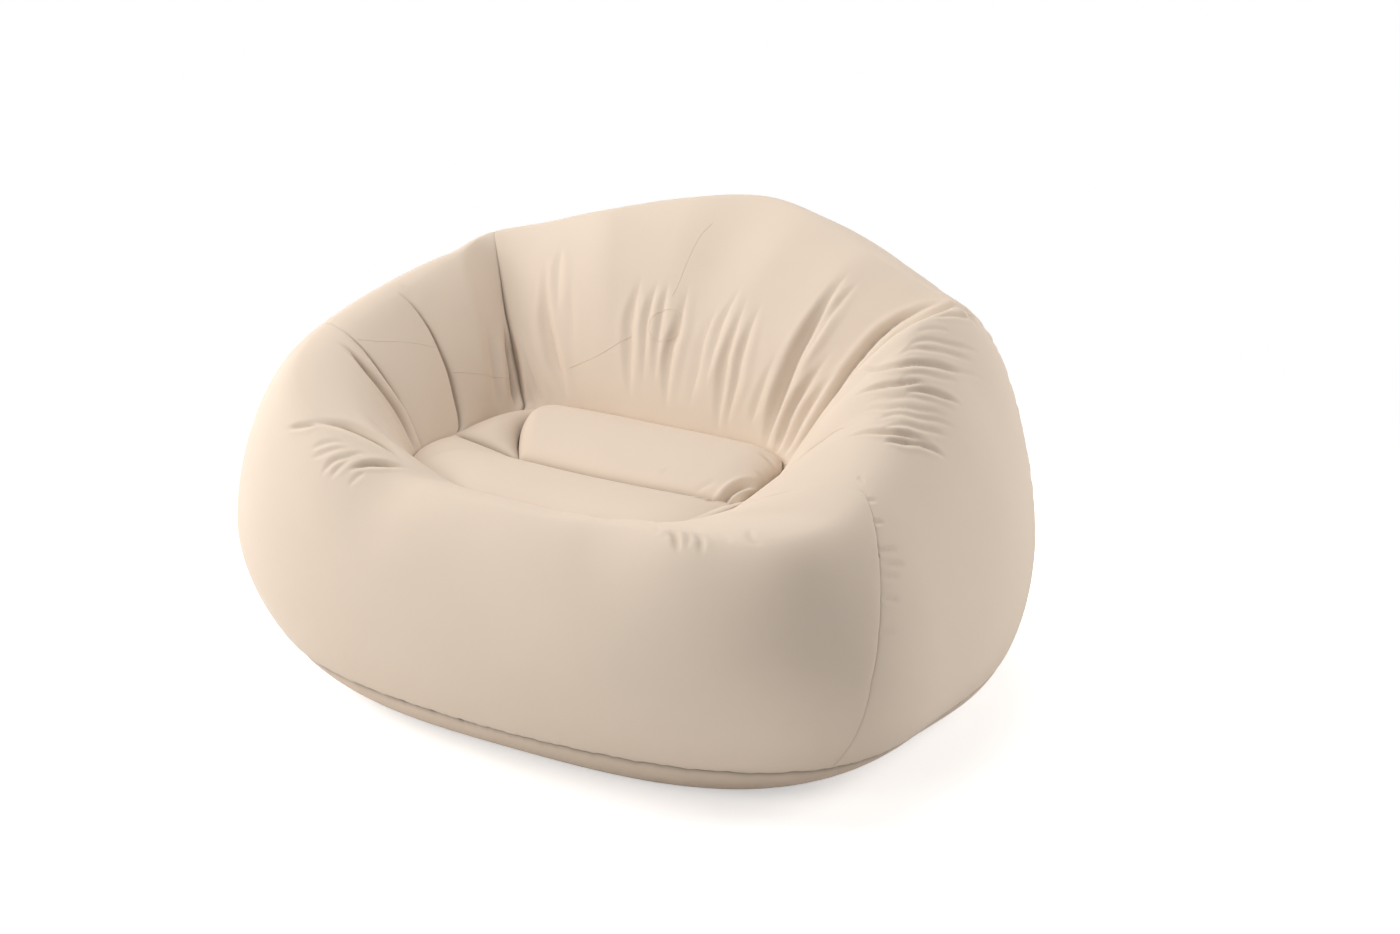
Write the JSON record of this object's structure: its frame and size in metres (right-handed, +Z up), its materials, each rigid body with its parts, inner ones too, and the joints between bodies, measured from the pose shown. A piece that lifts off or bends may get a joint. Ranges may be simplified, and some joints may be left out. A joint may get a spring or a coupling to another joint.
{
  "type": "inflatable lounge chair",
  "caption": "Round one-seat inflatable lounge chair: wrap-around back and arms, sunken seat with cross channels, flat base, plug valve low on the back.",
  "frame": {"origin": "on the floor, in the middle of the chair's outline in plan", "axes": "+Z up; the chair faces -Y; +X is the sitter's left"},
  "size_m": [1.07, 0.9022, 0.622],
  "materials": {
    "flocked_vinyl": "matt beige flocking on vinyl",
    "base_vinyl": "satin beige vinyl",
    "web_vinyl": "plain vinyl sheet",
    "valve_plastic": "soft moulded vinyl",
    "flap_rubber": "matt rubber"
  },
  "bodies": {
    "chamber": {"base_panel": "base_vinyl", "front_panel": "flocked_vinyl", "left_arm_panel": "flocked_vinyl", "right_arm_panel": "flocked_vinyl", "back_panel": "flocked_vinyl", "seat_panel": "flocked_vinyl", "seat_gusset_left": "flocked_vinyl", "seat_gusset_right": "flocked_vinyl", "front_web_left": "web_vinyl", "front_web_right": "web_vinyl", "arm_web_left": "web_vinyl", "arm_web_right": "web_vinyl", "back_web_left": "web_vinyl", "back_web_right": "web_vinyl", "seat_beam_front": "web_vinyl", "seat_beam_middle": "web_vinyl", "seat_beam_rear": "web_vinyl", "valve_collar": "valve_plastic"},
    "insert": {"valve_insert": "valve_plastic"},
    "cap": {"valve_cap": "valve_plastic"},
    "flap": {"valve_flap": "flap_rubber"}
  },
  "joints": [
    {"name": "insert_strap", "type": "hinge", "parent": "chamber", "child": "insert", "pos_m": [0, 0.44791, 0.16956], "axis": [1, 0, 0], "range_deg": [0, 120]},
    {"name": "cap_strap", "type": "hinge", "parent": "insert", "child": "cap", "pos_m": [0, 0.43991, 0.13389], "axis": [-1, 0, 0], "range_deg": [0, 120]},
    {"name": "flap_hinge", "type": "hinge", "parent": "insert", "child": "flap", "pos_m": [0, 0.43437, 0.16074], "axis": [-1, 0, 0], "range_deg": [0, 60], "stiffness_Nm_per_rad": 0.002, "springref_deg": -11.46}
  ]
}
